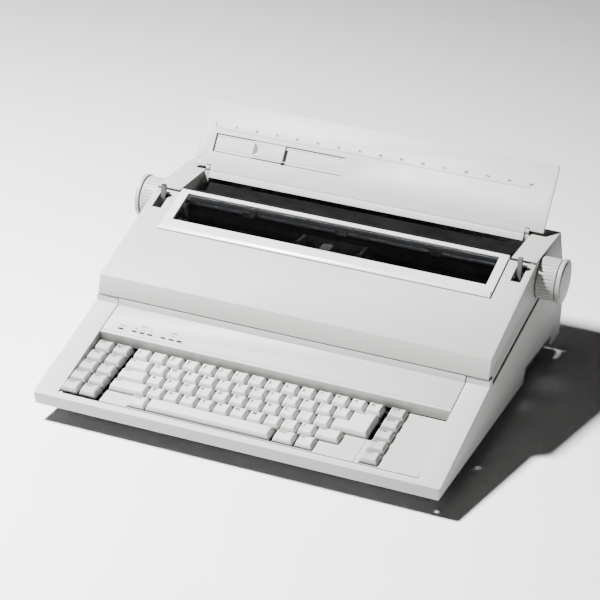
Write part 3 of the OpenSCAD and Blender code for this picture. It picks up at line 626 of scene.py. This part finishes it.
def printed(name, bm, matrix, body):
    bmesh.ops.transform(bm, matrix=matrix, verts=bm.verts)
    return mesh_piece(name, bm, INK, body, smooth=False)


def flat_rect(bm, x0, y0, x1, y1):
    corners = ((x0, y0), (x1, y0), (x1, y1), (x0, y1))
    bm.faces.new([bm.verts.new((x, y, INK_LIFT)) for x, y in corners])


SCALE_STEP = 2.54 * MM
SCALE_TICKS = 150
SCALE_LINE = 47 * MM      # height of the scale above the support's hinge
SCALE_LEFT = 6 * MM       # how far the scale stands left of the middle
SCALE_WEIGHT = 0.2 * MM
SUPPORT_FACE = 2 * MM     # from the hinge's plane to the printed face
TICK_HALF = 0.25 * MM
TICK_HEIGHTS = ((10, 2.8), (5, 2.2), (1, 1.5))    # every so many ticks, in mm
NUMBER_SIZE = 3.4 * MM
NUMBER_UP = 3.6 * MM


def support_matrix():
    """Places the XY plane on the middle of the open paper support, with Y running up it."""
    return surface_matrix(frame_joint("support_fold")["pos_m"], SUPPORT_ANGLE)


def make_ruler():
    """Scale of tenths of an inch along the paper support, numbered at every inch."""
    bm = bmesh.new()
    start = -SCALE_STEP * SCALE_TICKS / 2 - SCALE_LEFT
    for i in range(SCALE_TICKS + 1):
        x = start + i * SCALE_STEP
        tall = next(height for every, height in TICK_HEIGHTS if i % every == 0)
        flat_rect(bm, x - TICK_HALF, SCALE_LINE, x + TICK_HALF, SCALE_LINE + tall * MM)
        if i % 10 == 0:
            glyphs(bm, str(i), NUMBER_SIZE, (x, SCALE_LINE + NUMBER_UP), flat_level, "CENTER")
    end = start + SCALE_TICKS * SCALE_STEP
    flat_rect(bm, start, SCALE_LINE - SCALE_WEIGHT, end, SCALE_LINE)
    face = support_matrix() @ Matrix.Translation((0, 0, SUPPORT_FACE))
    printed("support_scale", bm, face, "support")


HOLD_RADIUS = 6.2 * MM
HOLD_INSET = 0.3 * MM
HOLD_LEVELS = (1.92 * MM, 2.3 * MM)    # bottom and top of the painted shade above the support's plane
HOLD_PARTS = 24


def make_guide_hold():
    """Dark half-round piece of painted shade in the finger hold of the paper guide, standing in for the shade in
    its recess.
    """
    place = support_matrix()
    points = [place.inverted() @ v.co for v in NODES["paper_guide"].data.vertices]
    left = min(p.x for p in points) + HOLD_INSET
    middle = (min(p.y for p in points) + max(p.y for p in points)) / 2
    turns = [math.pi * (k / HOLD_PARTS - 0.5) for k in range(HOLD_PARTS + 1)]
    outline = [(left + HOLD_RADIUS * math.cos(a), middle + HOLD_RADIUS * math.sin(a)) for a in turns]
    bm = bmesh.new()
    bottom, top = loft(bm, [[(x, y, level) for x, y in outline] for level in HOLD_LEVELS])
    bm.faces.new(top)
    bm.faces.new(list(reversed(bottom)))
    bmesh.ops.transform(bm, matrix=place, verts=bm.verts)
    mesh_piece("guide_hold_painted_shade", bm, MATERIALS["lever_plastic"], "guide", smooth=False)


LAMP_SUNK = 0.62 * MM     # depth of the lamps' tops under the print on the panel
LAMP_LABELS = ("LOCK", "10", "12", "15", "1", "1½", "2")
LAMP_LABEL = (2.8 * MM, 4.2 * MM)    # text size, and distance from the row of lamps
GROUP_LABEL = (3.0 * MM, 8.6 * MM)


def make_panel_legends():
    """Small labels above the lamps."""
    bm = bmesh.new()
    lamps = sorted(islands(NODES["indicator_lamps"]), key=lambda points: points[0].x)
    middles = [sum(p.x for p in points) / len(points) for points in lamps]
    labels = [(x, label, LAMP_LABEL) for x, label in zip(middles, LAMP_LABELS)]
    labels += [(middles[2], "PITCH", GROUP_LABEL), (middles[5], "LINE", GROUP_LABEL)]
    for x, label, (size, up) in labels:
        glyphs(bm, label, size, (x, up), flat_level, "CENTER")
    turn = tilted(WING_ANGLE)
    flat = [turn.inverted() @ p for p in lamps[0]]
    row = (min(p.y for p in flat) + max(p.y for p in flat)) / 2
    surface = max(p.z for p in flat) + LAMP_SUNK
    printed("panel_legends", bm, turn @ Matrix.Translation((0, row, surface)), "base")


# ---------- stage ----------

FLOOR_HALF = 6    # metres


def make_stage():
    """Plain floor that the machine stands on."""
    bm = bmesh.new()
    for x, y in ((-1, -1), (1, -1), (1, 1), (-1, 1)):
        bm.verts.new((x * FLOOR_HALF, y * FLOOR_HALF, 0))
    bm.faces.new(bm.verts)
    data = bpy.data.meshes.new("floor")
    bm.to_mesh(data)
    bm.free()
    data.materials.append(FLOOR)
    floor = bpy.data.objects.new("floor", data)
    bpy.context.scene.collection.objects.link(floor)


make_camera()
make_lights()
make_stage()
dress_nodes()
make_keys()
make_ruler()
make_panel_legends()
make_guide_hold()
